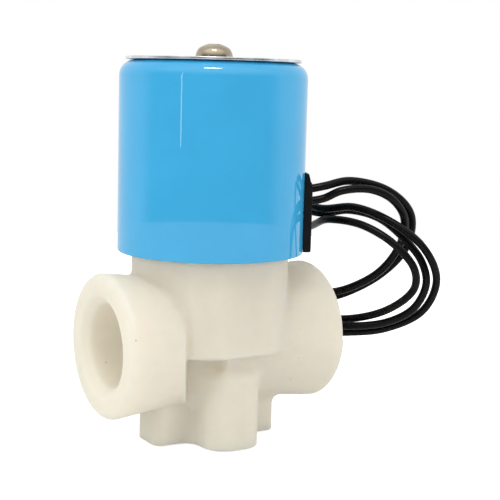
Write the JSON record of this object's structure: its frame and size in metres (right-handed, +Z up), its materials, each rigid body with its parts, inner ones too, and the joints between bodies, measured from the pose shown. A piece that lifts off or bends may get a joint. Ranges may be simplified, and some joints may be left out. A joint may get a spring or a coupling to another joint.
{
  "type": "solenoid valve",
  "caption": "Two-port solenoid valve: nylon body with threaded sockets and a foot, blue steel coil cover, spring-loaded plunger inside and black flying leads.",
  "frame": {"origin": "under the coil's axis, on the surface the foot stands on", "axes": "+Z up along the coil's and the plunger's axis, +X along the port axis towards the outlet, +Y to the back"},
  "size_m": [0.0669, 0.0499, 0.0762],
  "materials": {
    "nylon": "moulded, slightly translucent",
    "blue_enamel": "gloss",
    "zinc_steel": "zinc plated",
    "nickel": "polished",
    "stainless": "turned",
    "brass": "turned",
    "copper": "bare",
    "black_rubber": "matt",
    "black_pvc": "gloss",
    "bobbin_plastic": "moulded",
    "tape_film": "gloss",
    "tinned_copper": "tinned"
  },
  "bodies": {
    "valve": {"valve_body": "nylon", "inlet_strainer": "nylon", "tube_o_ring": "black_rubber", "guide_tube": "stainless", "retaining_nut": "brass", "fixed_core": "stainless", "shading_ring": "copper", "plunger_spring": "stainless", "flux_plate": "zinc_steel", "bobbin": "bobbin_plastic", "coil_winding": "copper", "coil_tape": "tape_film", "wave_washer": "zinc_steel", "coil_cover": "blue_enamel", "top_plate": "zinc_steel", "cover_screw": "nickel", "lead_grommet": "black_rubber", "splice_sleeve_1": "black_rubber", "splice_sleeve_2": "black_rubber", "lead_wire_1": "black_pvc", "lead_wire_2": "black_pvc", "lead_end_1": "tinned_copper", "lead_end_2": "tinned_copper"},
    "core": {"plunger": "stainless", "plunger_seal": "black_rubber"}
  },
  "joints": [
    {"name": "plunger_slide", "type": "slide", "parent": "valve", "child": "core", "axis": [0, 0, 1], "range_m": [0, 0.002], "stiffness_N_per_m": 100, "springref_m": -0.004, "deforming": ["plunger_spring"]}
  ]
}
